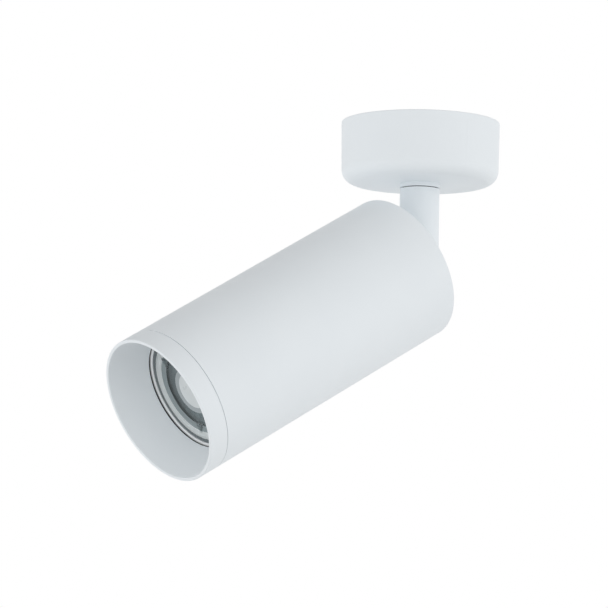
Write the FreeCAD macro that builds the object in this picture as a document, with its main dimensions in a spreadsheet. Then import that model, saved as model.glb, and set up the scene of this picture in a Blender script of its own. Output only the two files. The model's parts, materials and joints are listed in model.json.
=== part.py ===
import FreeCAD, Part
import math
import os
import Sketcher

# Surface mounted ceiling spotlight with one swivelling and tilting tubular head.
#
# Millimetres. The origin is the middle of the ceiling bracket's top face, on the ceiling.
# +Z points up into the ceiling, and the head looks towards -Y and down.
#
# The head's pieces are drawn in the head's own axes, then turned and moved into place:
# local X is the tilt axis, local Z runs from the tilt axis out through the lamp's face, and
# local Y is square to both, on the upper side. "out" below is the distance along local Z.

doc = FreeCAD.newDocument("CeilingSpotlight")


# ---------------------------------------------------------------- driving sizes

SIZES = [
    # canopy and bracket
    ("canopy_radius", 32.0),
    ("canopy_height", 25.0),
    ("canopy_draft", 0.4),
    ("canopy_wall", 2.0),
    ("canopy_floor", 2.0),
    ("canopy_edge_radius", 5.5),
    ("bracket_thickness", 1.5),
    ("bracket_width", 16.0),
    ("bracket_end_gap", 2.0),
    ("bracket_ear_drop", 9.5),
    ("bracket_ear_width", 12.0),
    ("slot_spacing", 38.0),
    ("slot_length", 12.0),
    ("slot_width", 4.5),
    ("cable_hole_radius", 5.0),
    ("lock_screw_depth", 6.5),
    ("lock_screw_radius", 1.5),
    ("hook_width", 8.0),
    ("hook_thickness", 1.5),
    ("hook_bite", 1.2),
    ("hook_clearance", 0.2),
    ("canopy_rim_round", 0.4),
    ("lock_screw_sink", 0.6),
    ("lock_screw_socket", 1.5),
    # terminal block
    ("pole_pitch", 8.0),
    ("block_width", 16.0),
    ("block_height", 11.0),
    ("block_offset", 17.0),
    ("clamp_radius", 2.1),
    ("clamp_bore", 1.5),
    ("terminal_screw_radius", 1.2),
    ("terminal_screw_groove", 0.6),
    ("terminal_screw_sink", 1.0),
    ("clamp_set_in", 1.5),
    ("pole_drop_share", 0.42),
    ("clamp_screw_share", 0.45),
    ("block_screw_head", 1.8),
    ("block_screw_head_height", 1.3),
    ("block_screw_sink", 1.5),
    ("block_screw_past", 1.2),
    # pan swivel under the canopy
    ("collar_radius", 8.0),
    ("collar_height", 1.75),
    ("bush_shank_radius", 6.5),
    ("bush_stand", 0.6),
    ("swivel_gap", 0.35),
    ("nipple_radius", 5.0),
    ("nipple_bore", 3.2),
    ("thread_depth", 10.0),
    ("running_clearance", 0.06),
    ("seat_clearance", 0.1),
    ("thread_allowance", 0.02),
    ("snug_allowance", 0.05),
    ("slide_washer_thickness", 0.8),
    ("slide_washer_radius", 8.5),
    ("stop_washer_thickness", 1.0),
    ("stop_tab_width", 1.4),
    ("stop_pin_radius", 1.0),
    ("stop_pin_circle", 10.5),
    ("stop_pin_depth", 0.9),
    ("stop_tab_past_pin", 0.3),
    ("spring_height", 1.5),
    ("spring_thickness", 0.8),
    ("nut_flats", 14.0),
    ("nut_height", 4.0),
    ("nut_chamfer", 0.2),
    ("nipple_stand", 1.0),
    ("gap_washer_set_in", 0.6),
    # stem and tilt knuckle
    ("stem_radius", 8.0),
    ("pivot_drop", 30.0),
    ("fork_slot_width", 9.2),
    ("fork_slot_back", 6.1),
    ("yoke_width", 8.0),
    ("yoke_slot_width", 4.8),
    ("yoke_half_height", 5.7),
    ("yoke_clearance", 0.4),
    ("pivot_screw_radius", 1.5),
    ("pivot_head_radius", 2.6),
    ("pivot_head_height", 1.6),
    ("pivot_head_sink", 0.4),
    ("pivot_head_clearance", 0.3),
    ("pivot_tip_past_slot", 0.1),
    ("friction_washer_thickness", 0.5),
    ("friction_washer_radius", 5.0),
    # wiring
    ("sleeve_radius", 2.1),
    ("lead_radius", 0.8),
    ("lead_circle", 0.95),
    ("sleeve_above_nipple", 2.2),
    ("sleeve_past_flange", 4.0),
    # head
    ("tilt_angle", 60.0),
    ("pivot_to_body", 10.0),
    ("body_radius", 30.0),
    ("body_length", 131.0),
    ("body_wall", 1.8),
    ("body_edge_radius", 0.5),
    ("flange_set_back", 4.0),
    ("flange_thickness", 3.0),
    ("flange_bore_radius", 21.5),
    ("cap_recess", 0.8),
    ("cap_clearance", 0.1),
    ("yoke_base_thickness", 2.2),
    ("cap_screw_circle", 25.3),
    ("cap_screw_count", 3),
    ("cap_screw_radius", 1.5),
    ("cap_screw_head", 2.2),
    ("cap_screw_head_height", 1.4),
    ("cap_screw_sink", 1.6),
    ("cap_screw_clearance", 0.1),
    ("yoke_screw_offset", 5.4),
    ("yoke_screw_radius", 1.2),
    ("yoke_screw_head", 2.0),
    ("yoke_screw_head_height", 1.2),
    ("yoke_thread_floor", 0.6),
    # front ring
    ("ring_length", 8.6),
    ("seam_gap", 0.2),
    ("rim_width", 1.3),
    ("rim_edge_radius", 0.3),
    ("baffle_depth", 16.3),
    ("baffle_radius", 23.6),
    ("baffle_lip", 0.25),
    ("skirt_clearance", 0.3),
    ("skirt_thickness", 2.2),
    ("skirt_reach", 6.0),
    ("gasket_thickness", 0.5),
    ("gasket_set_back", 0.1),
    # lamp
    ("lamp_radius", 25.0),
    ("lamp_length", 46.5),
    ("lamp_clearance", 0.3),
    ("bezel_length", 5.0),
    ("bezel_rim", 2.1),
    ("bezel_lip", 0.8),
    ("bezel_wall", 1.5),
    ("bezel_outer_round", 0.8),
    ("bezel_inner_round", 0.3),
    ("lens_thickness", 1.5),
    ("lens_puck_radius", 9.0),
    ("lens_puck_height", 0.8),
    ("lens_set_in", 1.7),
    ("lens_puck_slope", 0.6),
    ("lens_tab_count", 3),
    ("lens_tab_inner", 14.6),
    ("lens_tab_half_width", 2.6),
    ("lens_tab_gap", 2.9),
    ("lens_tab_root", 0.3),
    ("lens_tab_thickness", 0.8),
    ("reflector_depth", 12.0),
    ("reflector_throat", 9.6),
    ("reflector_mouth_set_in", 3.4),
    ("led_board_thickness", 1.6),
    ("led_board_past_throat", 4.0),
    ("led_chip_radius", 4.5),
    ("led_chip_height", 0.8),
    ("light_guide_foot", 5.2),
    ("light_guide_gap", 0.4),
    ("spreader_thickness", 2.0),
    ("spreader_past_throat", 4.5),
    ("lamp_wall", 1.2),
    ("housing_set_in", 0.6),
    ("housing_straight", 6.0),
    ("housing_shoulder", 1.5),
    ("housing_shoulder_height", 2.0),
    ("driver_half_thickness", 0.8),
    ("driver_past_base", 4.0),
    ("base_radius", 13.5),
    ("base_length", 18.0),
    ("base_floor", 2.5),
    ("pin_spacing", 10.0),
    ("pin_radius", 1.6),
    ("pin_head_radius", 2.5),
    ("pin_head_height", 2.5),
    ("pin_length", 7.5),
    ("pin_root", 2.0),
    # lamp holder and its bracket
    ("holder_radius", 14.0),
    ("holder_height", 16.0),
    ("holder_clearance", 0.3),
    ("holder_face_thickness", 2.6),
    ("holder_screw_offset", 10.2),
    ("holder_screw_radius", 1.4),
    ("holder_screw_head", 2.5),
    ("holder_screw_head_height", 1.8),
    ("holder_screw_sink", 3.0),
    ("holder_screw_sink_radius", 2.7),
    ("holder_back", 4.0),
    ("holder_slot_clearance", 0.35),
    ("holder_chamber_clearance", 0.4),
    ("contact_half_width", 1.5),
    ("contact_half_depth", 1.2),
    ("twist_angle", 20.0),
    ("strap_thickness", 1.0),
    ("strap_width", 12.0),
    ("strap_half_span", 21.0),
    ("strap_foot", 6.2),
    ("strap_screw_circle", 24.6),
    ("strap_screw_head", 2.5),
    ("strap_screw_head_height", 1.6),
    ("strap_lead_clearance", 0.7),
    ("tag_thickness", 0.8),
    ("tag_radius", 2.9),
    ("tag_tail_half", 1.2),
    ("tag_tail_reach", 3.0),
    ("grommet_wall", 0.9),
    ("grommet_collar", 0.4),
    ("grommet_collar_height", 1.2),
]

PAST = 1.0          # how far a cutting shape runs past the face that it cuts
FIRST_TAB = 128.0   # where the first tab on the lens stands, in degrees

sheet = doc.addObject("Spreadsheet::Sheet", "Sizes")
for row, (alias, number) in enumerate(SIZES, start=1):
    sheet.set("A%d" % row, alias.replace("_", " "))
    sheet.set("B%d" % row, str(number))
    sheet.setAlias("B%d" % row, alias)
doc.recompute()


class Size:
    """A length worked out from the sheet: its formula, and its value at present."""

    def __init__(self, formula, value):
        self.formula = formula
        self.value = value

    def __add__(self, other):
        return combine(self, "+", other, self.value + value_of(other))

    def __radd__(self, other):
        return combine(other, "+", self, value_of(other) + self.value)

    def __sub__(self, other):
        return combine(self, "-", other, self.value - value_of(other))

    def __rsub__(self, other):
        return combine(other, "-", self, value_of(other) - self.value)

    def __mul__(self, other):
        return combine(self, "*", other, self.value * value_of(other))

    def __rmul__(self, other):
        return combine(other, "*", self, value_of(other) * self.value)

    def __truediv__(self, other):
        return combine(self, "/", other, self.value / value_of(other))

    def __neg__(self):
        return combine(0, "-", self, -self.value)


def value_of(length):
    return length.value if isinstance(length, Size) else float(length)


def formula_of(length):
    return length.formula if isinstance(length, Size) else "%.9g" % length


def combine(first, sign, second, value):
    return Size("(%s %s %s)" % (formula_of(first), sign, formula_of(second)), value)


def size(alias):
    return Size("Sizes." + alias, float(sheet.get(alias)))


# ---------------------------------------------------------------- drawing helpers

def bind(part, path, length):
    """Tie one property of an object to the sheet, or set it where it is a plain number."""
    if isinstance(length, Size):
        part.setExpression(path, length.formula)
    elif "." in path:
        part.setExpression(path, formula_of(length))
    else:
        setattr(part, path, float(length))


def put(part, corner, turn=None):
    part.Placement = FreeCAD.Placement(FreeCAD.Vector(0, 0, 0), turn or FreeCAD.Rotation())
    for letter, length in zip("xyz", corner):
        bind(part, "Placement.Base." + letter, length)


ALONG = {
    "X": FreeCAD.Rotation(FreeCAD.Vector(0, 1, 0), 90),
    "Y": FreeCAD.Rotation(FreeCAD.Vector(1, 0, 0), -90),
    "Z": FreeCAD.Rotation(),
}


def on_axis(axis, centre, low):
    """The point at "low" along an axis, with the other two coordinates in "centre"."""
    first, second = centre
    return {"X": (low, first, second), "Y": (first, low, second), "Z": (first, second, low)}[axis]


def rod(name, radius, axis, centre, low, high):
    part = doc.addObject("Part::Cylinder", name)
    bind(part, "Radius", radius)
    bind(part, "Height", high - low)
    put(part, on_axis(axis, centre, low), ALONG[axis])
    return part


def taper(name, radius_low, radius_high, centre, low, high):
    part = doc.addObject("Part::Cone", name)
    bind(part, "Radius1", radius_low)
    bind(part, "Radius2", radius_high)
    bind(part, "Height", high - low)
    put(part, on_axis("Z", centre, low))
    return part


def box(name, across, along, up):
    part = doc.addObject("Part::Box", name)
    bind(part, "Length", across[1] - across[0])
    bind(part, "Width", along[1] - along[0])
    bind(part, "Height", up[1] - up[0])
    put(part, (across[0], along[0], up[0]))
    return part


def hexagon(name, flats, axis, centre, low, high):
    part = doc.addObject("Part::Prism", name)
    part.Polygon = 6
    bind(part, "Circumradius", flats / math.sqrt(3))
    bind(part, "Height", high - low)
    put(part, on_axis(axis, centre, low), ALONG[axis])
    return part


def join(name, *parts):
    part = doc.addObject("Part::MultiFuse", name)
    part.Shapes = list(parts)
    return part


def drill(name, base, *tools):
    part = doc.addObject("Part::Cut", name)
    part.Base = base
    part.Tool = tools[0] if len(tools) == 1 else join(name + "_tools", *tools)
    return part


def overlap(name, *parts):
    part = doc.addObject("Part::MultiCommon", name)
    part.Shapes = list(parts)
    return part


def group(name, *parts):
    part = doc.addObject("Part::Compound", name)
    part.Links = list(parts)
    return part


def tube(name, outer, inner, low, high, axis="Z", centre=(0, 0)):
    return drill(name, rod(name + "_outside", outer, axis, centre, low, high),
                 rod(name + "_bore", inner, axis, centre, low - PAST, high + PAST))


def flat_sketch(body, plane):
    sketch = body.newObject("Sketcher::SketchObject", body.Name + "_outline")
    faces = [item for item in body.Origin.OriginFeatures if item.Role == plane]
    sketch.AttachmentSupport = [(faces[0], "")]
    sketch.MapMode = "FlatFace"
    return sketch


def outline(sketch, points):
    """A closed outline whose every corner is tied to the sheet."""
    corners = [FreeCAD.Vector(value_of(a), value_of(b), 0) for a, b in points]
    for number, corner in enumerate(corners):
        following = corners[(number + 1) % len(corners)]
        sketch.addGeometry(Part.LineSegment(corner, following), False)
    for number in range(len(corners)):
        after = (number + 1) % len(corners)
        sketch.addConstraint(Sketcher.Constraint("Coincident", number, 2, after, 1))
    for number, point in enumerate(points):
        for kind, axis, length in (("DistanceX", -2, point[0]), ("DistanceY", -1, point[1])):
            if not isinstance(length, Size) and length == 0:
                sketch.addConstraint(Sketcher.Constraint("PointOnObject", number, 1, axis))
                continue
            rule = Sketcher.Constraint(kind, -1, 1, number, 1, value_of(length))
            place = sketch.addConstraint(rule)
            if isinstance(length, Size):
                sketch.setExpression("Constraints[%d]" % place, length.formula)


def lathe(name, profile):
    """A turned piece: an outline of (radius, height) corners spun about local Z."""
    body = doc.addObject("PartDesign::Body", name)
    sketch = flat_sketch(body, "XZ_Plane")
    outline(sketch, profile)
    spin = body.newObject("PartDesign::Revolution", name + "_spin")
    spin.Profile = sketch
    spin.ReferenceAxis = (sketch, ["V_Axis"])
    spin.Angle = 360
    doc.recompute()
    return body


def plate(name, points, low, thickness):
    """A flat piece: an outline of (x, y) corners, padded upwards from a height."""
    body = doc.addObject("PartDesign::Body", name)
    sketch = flat_sketch(body, "XY_Plane")
    outline(sketch, points)
    sketch.setExpression("AttachmentOffset.Base.z", formula_of(low))
    pad = body.newObject("PartDesign::Pad", name + "_pad")
    pad.Profile = sketch
    bind(pad, "Length", thickness)
    doc.recompute()
    return body


def round_circles(body, radius, circles):
    """Round the circular edges given as (radius, height) pairs."""
    feature = body.Tip
    edges = []
    for number, edge in enumerate(feature.Shape.Edges, start=1):
        if edge.Curve.TypeId != "Part::GeomCircle":
            continue
        for wanted_radius, wanted_height in circles:
            near_radius = abs(edge.Curve.Radius - value_of(wanted_radius)) < 0.001
            near_height = abs(edge.Curve.Center.z - value_of(wanted_height)) < 0.001
            if near_radius and near_height:
                edges.append("Edge%d" % number)
    if len(edges) != len(circles):
        raise RuntimeError("%s: an edge to round is missing" % body.Name)
    fillet = body.newObject("PartDesign::Fillet", feature.Name + "_round")
    fillet.Base = (feature, edges)
    bind(fillet, "Radius", radius)
    doc.recompute()


def screw(name, radius, head_radius, head_height, axis, centre, seat, tip):
    """A socket screw: its head sits on "seat" and its shank runs to "tip"."""
    up = value_of(tip) > value_of(seat)
    head_end = seat - head_height if up else seat + head_height
    socket_end = seat - head_height * 0.4 if up else seat + head_height * 0.4
    shank = (seat, tip) if up else (tip, seat)
    head = (head_end, seat) if up else (seat, head_end)
    past = head_end - 0.5 if up else head_end + 0.5
    socket = (past, socket_end) if up else (socket_end, past)
    solid = join(name + "_blank", rod(name + "_shank", radius, axis, centre, *shank),
                 rod(name + "_head", head_radius, axis, centre, *head))
    return drill(name, solid, hexagon(name + "_socket", head_radius * 0.9, axis, centre, *socket))


def around(radius, degrees):
    """The two coordinates of a point on a circle."""
    turn = math.radians(degrees)
    return radius * round(math.cos(turn), 9), radius * round(math.sin(turn), 9)


# ---------------------------------------------------------------- cords

def bend_radius(before, corner, after):
    first = corner - before
    second = after - corner
    turn = first.getAngle(second)
    return 0.45 * min(first.Length, second.Length) / math.tan(turn / 2)


def cord(name, points, radius):
    """A round cord: straight runs joined by arcs as large as the runs allow."""
    route = [FreeCAD.Vector(*[value_of(number) for number in point]) for point in points]
    edges = []
    here = route[0]
    for before, corner, after in zip(route, route[1:], route[2:]):
        bend = bend_radius(before, corner, after)
        first = (corner - before).normalize()
        second = (after - corner).normalize()
        turn = first.getAngle(second)
        reach = bend * math.tan(turn / 2)
        start = corner - first * reach
        end = corner + second * reach
        inward = (second - first).normalize()
        middle = corner + inward * (bend / math.cos(turn / 2) - bend)
        edges.append(Part.LineSegment(here, start).toShape())
        edges.append(Part.Arc(start, middle, end).toShape())
        here = end
        print("%s bends at radius %.1f mm" % (name, bend))
    edges.append(Part.LineSegment(here, route[-1]).toShape())
    path = Part.Wire(edges)
    ring = Part.Wire(Part.makeCircle(value_of(radius), route[0], route[1] - route[0]))
    part = doc.addObject("Part::Feature", name)
    part.Shape = path.makePipeShell([ring], True, False)
    expected = math.pi * value_of(radius) ** 2 * path.Length
    if abs(part.Shape.Volume / expected - 1) > 0.01:
        raise RuntimeError("%s: the swept solid has the wrong volume" % name)
    return part


# ---------------------------------------------------------------- heights that pieces share

NODES = []
PRIMITIVES = ("Part::Cylinder", "Part::Cone", "Part::Box")


def finish(name, part):
    """Register a piece that stands in the ceiling's axes."""
    part.Label = name
    NODES.append(part)


def finish_head(name, part):
    """Register a piece drawn in the head's axes, and hang it on the tilt axis."""
    if part.TypeId in PRIMITIVES:
        part = group(part.Name + "_hung", part)
    part.Placement = FreeCAD.Placement(
        FreeCAD.Vector(0, 0, pivot_height.value),
        FreeCAD.Rotation(FreeCAD.Vector(1, 0, 0), 180 - size("tilt_angle").value))
    part.setExpression("Placement.Rotation.Angle", "180 - Sizes.tilt_angle")
    part.setExpression("Placement.Base.z", pivot_height.formula)
    finish(name, part)


gap = size("seat_clearance")
thread = size("thread_allowance")
snug = size("snug_allowance")
canopy_bottom = -size("canopy_height")
floor_top = canopy_bottom + size("canopy_floor")
bracket_end = size("canopy_radius") - size("canopy_wall") - size("bracket_end_gap")
bracket_under = -size("bracket_thickness")
pole_height = bracket_under - size("block_height") * size("pole_drop_share")
collar_bottom = canopy_bottom - size("collar_height")
stem_top = collar_bottom - size("swivel_gap")
bush_top = floor_top + size("bush_stand")
slide_washer_low = bush_top + gap
stop_washer_low = slide_washer_low + size("slide_washer_thickness")
spring_low = stop_washer_low + size("stop_washer_thickness")
nut_low = spring_low + size("spring_height")
nipple_low = stem_top - size("thread_depth")
nipple_top = nut_low + size("nut_height") + size("nipple_stand")
sleeve_top = nipple_top + size("sleeve_above_nipple")
pivot_height = canopy_bottom - size("pivot_drop")
fork_root = pivot_height + size("yoke_half_height") + size("yoke_clearance")
pivot_seat = size("stem_radius") - size("pivot_head_sink") - size("pivot_head_height")

body_rear = size("pivot_to_body")
body_front = body_rear + size("body_length")
cap_rear = body_rear + size("cap_recess")
flange_rear = body_rear + size("flange_set_back")
flange_front = flange_rear + size("flange_thickness")
bore_radius = size("body_radius") - size("body_wall")
seam = body_front - size("ring_length")
lip_front = body_front - size("baffle_depth")
lip_rear = lip_front - size("baffle_lip")
gasket_rear = lip_rear - size("gasket_thickness")
lamp_front = gasket_rear - size("lamp_clearance")
lamp_rear = lamp_front - size("lamp_length")
bezel_rear = lamp_front - size("bezel_length")
lens_front = lamp_front - size("bezel_lip")
lens_rear = lens_front - size("lens_thickness")
base_front = lamp_rear + size("base_length")
base_floor_front = lamp_rear + size("base_floor")
holder_front = lamp_rear - size("holder_clearance")
holder_rear = holder_front - size("holder_height")
lead_hole_offset = size("pin_spacing") * 0.4
strap_rear = holder_rear - size("strap_thickness")
yoke_base_rear = cap_rear - size("yoke_base_thickness")
sleeve_end = flange_front + size("sleeve_past_flange")


# ---------------------------------------------------------------- fixed to the ceiling

def ceiling_bracket():
    """A steel strip with two slots, a cable hole, one threaded ear and one hooked ear."""
    half = size("bracket_width") / 2
    strip = box("bracket_strip", (-half, half), (-bracket_end, bracket_end), (bracket_under, 0))
    wing_reach = size("block_offset") + size("block_width") / 2
    wing = box("bracket_wing", (-wing_reach, -half), (-size("pole_pitch"), size("pole_pitch")),
               (bracket_under, 0))
    ear_half = size("bracket_ear_width") / 2
    ear_low = bracket_under - size("bracket_ear_drop")
    screw_ear = box("bracket_screw_ear", (-ear_half, ear_half),
                    (bracket_end - size("bracket_thickness"), bracket_end), (ear_low, bracket_under))
    hook_ear = box("bracket_hook_ear", (-ear_half, ear_half),
                   (-bracket_end, -bracket_end + size("bracket_thickness")),
                   (ear_low, bracket_under))
    hook_half = size("hook_width") / 2
    hook_high = ear_low + size("hook_thickness")
    hook_end = size("canopy_radius") - size("canopy_wall") + size("hook_bite") - size("hook_clearance")
    hook = box("bracket_hook", (-hook_half, hook_half), (-hook_end, -bracket_end),
               (ear_low, hook_high))
    blank = join("bracket_blank", strip, wing, screw_ear, hook_ear, hook)
    cuts = [rod("bracket_cable_hole", size("cable_hole_radius"), "Z", (0, 0), bracket_under - PAST, PAST)]
    slot_end = (size("slot_length") - size("slot_width")) / 2
    slot_half = size("slot_width") / 2
    for side, word in ((-1, "hook_side"), (1, "screw_side")):
        middle = size("slot_spacing") * (side * 0.5)
        cuts.append(box("slot_" + word, (-slot_half, slot_half),
                        (middle - slot_end, middle + slot_end), (bracket_under - PAST, PAST)))
        for end, name in ((-slot_end, "_near"), (slot_end, "_far")):
            cuts.append(rod("slot_" + word + name, slot_half, "Z", (0, middle + end),
                            bracket_under - PAST, PAST))
    cuts.append(rod("bracket_thread", size("lock_screw_radius") + thread, "Y",
                    (0, -size("lock_screw_depth")),
                    bracket_end - size("bracket_thickness") - PAST, bracket_end + PAST))
    for number, side in enumerate((-1, 1)):
        cuts.append(rod("bracket_block_hole_%d" % number, size("terminal_screw_radius") + thread,
                        "Z", (-size("block_offset"), size("pole_pitch") * (side * 0.5)),
                        bracket_under - PAST, PAST))
    finish("ceiling_bracket", drill("ceiling_bracket_cut", blank, *cuts))


def canopy():
    """The round cup that covers the bracket, with its lower edge rounded."""
    top = size("canopy_radius")
    bottom = top - size("canopy_draft")
    wall = size("canopy_wall")
    cup = lathe("canopy_cup", [
        (bottom, canopy_bottom), (top, 0), (top - wall, 0), (bottom - wall, floor_top),
        (size("bush_shank_radius") + thread, floor_top),
        (size("bush_shank_radius") + thread, canopy_bottom)])
    round_circles(cup, size("canopy_edge_radius"), [(bottom, canopy_bottom)])
    round_circles(cup, size("canopy_edge_radius") - wall, [(bottom - wall, floor_top)])
    round_circles(cup, size("canopy_rim_round"), [(top, 0)])
    screw_hole = rod("canopy_screw_hole", size("lock_screw_radius") + gap * 1.5, "Y",
                     (0, -size("lock_screw_depth")), bracket_end - PAST, top + PAST)
    clear = size("hook_clearance")
    hook_half = size("hook_width") / 2 + clear
    hook_low = bracket_under - size("bracket_ear_drop") - clear
    hook_high = hook_low + size("hook_thickness") + clear * 2
    inside = top - wall
    pocket = box("canopy_hook_pocket", (-hook_half, hook_half),
                 (-inside - size("hook_bite"), -inside + PAST), (hook_low, hook_high))
    pin_hole = rod("canopy_pin_hole", size("stop_pin_radius"), "Z", (0, size("stop_pin_circle")),
                   floor_top - size("stop_pin_depth") - gap, floor_top + PAST)
    finish("canopy", drill("canopy_cut", cup, screw_hole, pocket, pin_hole))


def canopy_lock_screw():
    """A headless screw in the bracket's ear, whose end sits in the canopy's side hole."""
    centre = (0, -size("lock_screw_depth"))
    end = size("canopy_radius") - size("lock_screw_sink")
    start = bracket_end - size("bracket_thickness") * 2
    blank = rod("lock_screw_blank", size("lock_screw_radius"), "Y", centre, start, end)
    socket = hexagon("lock_screw_socket", size("lock_screw_radius"), "Y", centre,
                     end - size("lock_screw_socket"), end + PAST)
    finish("canopy_lock_screw", drill("lock_screw_cut", blank, socket))


def pole_places():
    return [size("pole_pitch") * number for number in (-1, 0, 1)]


def terminal_block():
    """A three pole block under the bracket's wing, with brass clamps and their screws."""
    middle = -size("block_offset")
    half = size("block_width") / 2
    pitch = size("pole_pitch")
    low = bracket_under - size("block_height")
    rear, front = middle - half, middle + half
    pin_radius = size("terminal_screw_radius")
    groove_half = size("terminal_screw_groove") / 3
    housing = box("block_blank", (rear, front), (pitch * -1.5, pitch * 1.5), (low, bracket_under))
    cuts = []
    clamps = []
    screws = []
    for number, along in enumerate(pole_places()):
        cuts.append(rod("pole_bore_%d" % number, size("clamp_radius") + snug, "X",
                        (along, pole_height), rear - PAST, front + PAST))
        clamp = tube("clamp_tube_%d" % number, size("clamp_radius"), size("clamp_bore"),
                     rear + size("clamp_set_in"), front - size("clamp_set_in"), "X",
                     (along, pole_height))
        taps = []
        for end, word in ((-1, "rear"), (1, "front")):
            centre = (middle + half * (size("clamp_screw_share") * end), along)
            place = "%d_%s" % (number, word)
            cuts.append(rod("clamp_well_" + place, pin_radius + snug * 6, "Z", centre,
                            low - PAST, pole_height))
            taps.append(rod("clamp_tap_" + place, pin_radius + thread, "Z", centre,
                            pole_height - size("clamp_radius") - PAST, pole_height))
            name = "terminal_screw_" + place
            pin_low = low + size("terminal_screw_sink")
            pin = rod(name + "_pin", pin_radius, "Z", centre, pin_low,
                      pole_height - size("lead_radius") - gap)
            groove = box(name + "_groove", (centre[0] - pin_radius * 2, centre[0] + pin_radius * 2),
                         (along - groove_half, along + groove_half),
                         (low, pin_low + size("terminal_screw_groove")))
            screws.append(drill(name, pin, groove))
        clamps.append(drill("clamp_%d" % number, clamp, *taps))
    fixings = []
    head_seat = low + size("block_screw_sink")
    for number, side in enumerate((-1, 1)):
        centre = (middle, pitch * (side * 0.5))
        cuts.append(rod("fixing_hole_%d" % number, pin_radius + thread, "Z", centre, low - PAST,
                        bracket_under + PAST))
        cuts.append(rod("fixing_sink_%d" % number, size("block_screw_head") + snug, "Z", centre,
                        low - PAST, head_seat))
        fixings.append(screw("fixing_%d" % number, pin_radius, size("block_screw_head"),
                             size("block_screw_head_height"), "Z", centre, head_seat,
                             bracket_under + size("block_screw_past")))
    finish("terminal_block", drill("block_cut", housing, *cuts))
    finish("terminal_clamps", group("clamps", *clamps))
    finish("terminal_screws", group("screws_in_clamps", *screws))
    finish("terminal_block_screws", group("fixings", *fixings))


def canopy_leads():
    """Three leads from the clamps, down to the top of the sleeve in the hollow nipple."""
    inner_end = -size("block_offset") + size("block_width") / 2
    names = ("earth_lead_in_canopy", "live_lead_in_canopy", "neutral_lead_in_canopy")
    for name, along, turn in zip(names, pole_places(), (300, 180, 60)):
        x, y = around(size("lead_circle"), turn)
        points = [
            (inner_end - 4, along, pole_height),
            (inner_end + 3, along * 0.8, pole_height + 0.2),
            (x - 2.2, y + along * 0.12, pole_height - 0.5),
            (x, y, pole_height - 3.2),
            (x, y, sleeve_top)]
        finish(name, cord(name + "_route", points, size("lead_radius")))


def swivel_bush():
    """The flanged bush pressed into the canopy's floor: its flange is the small collar."""
    bore = size("nipple_radius") + size("running_clearance")
    bush = lathe("swivel_bush_turned", [
        (bore, collar_bottom), (size("collar_radius"), collar_bottom),
        (size("collar_radius"), canopy_bottom), (size("bush_shank_radius"), canopy_bottom),
        (size("bush_shank_radius"), bush_top), (bore, bush_top)])
    finish("swivel_bush", bush)


def stop_pin():
    """The pin on the canopy's floor that ends the swivel's turn."""
    pin = rod("stop_pin_rod", size("stop_pin_radius"), "Z", (0, size("stop_pin_circle")),
              floor_top - size("stop_pin_depth"), spring_low)
    finish("stop_pin", pin)


# ---------------------------------------------------------------- turns with the stem

def swivel_stack():
    """What holds the stem up: slide washer, stop washer, disc spring and nut."""
    hole = size("nipple_radius") + snug
    washer = size("slide_washer_radius")
    finish("swivel_slide_washer", tube("slide_washer", washer, hole, slide_washer_low, stop_washer_low))
    tab_half = size("stop_tab_width") / 2
    tab_end = size("stop_pin_circle") + size("stop_pin_radius") + size("stop_tab_past_pin")
    disc = rod("stop_disc", washer, "Z", (0, 0), stop_washer_low, spring_low)
    tab = box("stop_tab", (-tab_half, tab_half), (-tab_end, -hole), (stop_washer_low, spring_low))
    bore = rod("stop_bore", hole, "Z", (0, 0), stop_washer_low - PAST, spring_low + PAST)
    finish("swivel_stop_washer", drill("stop_washer", join("stop_blank", disc, tab), bore))
    thick = size("spring_thickness")
    finish("swivel_disc_spring", lathe("disc_spring", [
        (hole + gap, nut_low - thick), (washer, spring_low), (washer, spring_low + thick),
        (hole + gap, nut_low)]))
    nut_high = nut_low + size("nut_height")
    nut = drill("nut_drilled", hexagon("nut_blank", size("nut_flats"), "Z", (0, 0), nut_low, nut_high),
                rod("nut_bore", size("nipple_radius") + thread, "Z", (0, 0), nut_low - PAST,
                    nut_high + PAST))
    chamfer_radius = size("nut_flats") / 2
    dome = taper("nut_dome", chamfer_radius + size("nut_height") * 0.75,
                 chamfer_radius - size("nut_chamfer"), (0, 0), nut_low, nut_high + 0.9)
    finish("swivel_nut", overlap("nut_shaped", nut, dome))


def threaded_nipple():
    """The hollow threaded tube that the leads run down."""
    finish("threaded_nipple", tube("nipple", size("nipple_radius"), size("nipple_bore"),
                                   nipple_low, nipple_top))


def swivel_gap_washer():
    """The dark washer seen as a thin line between the collar and the stem."""
    thickness = size("swivel_gap") - gap
    finish("swivel_gap_washer", tube("gap_washer", size("collar_radius") - size("gap_washer_set_in"),
                                     size("nipple_radius") + snug, stem_top, stem_top + thickness))


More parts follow.
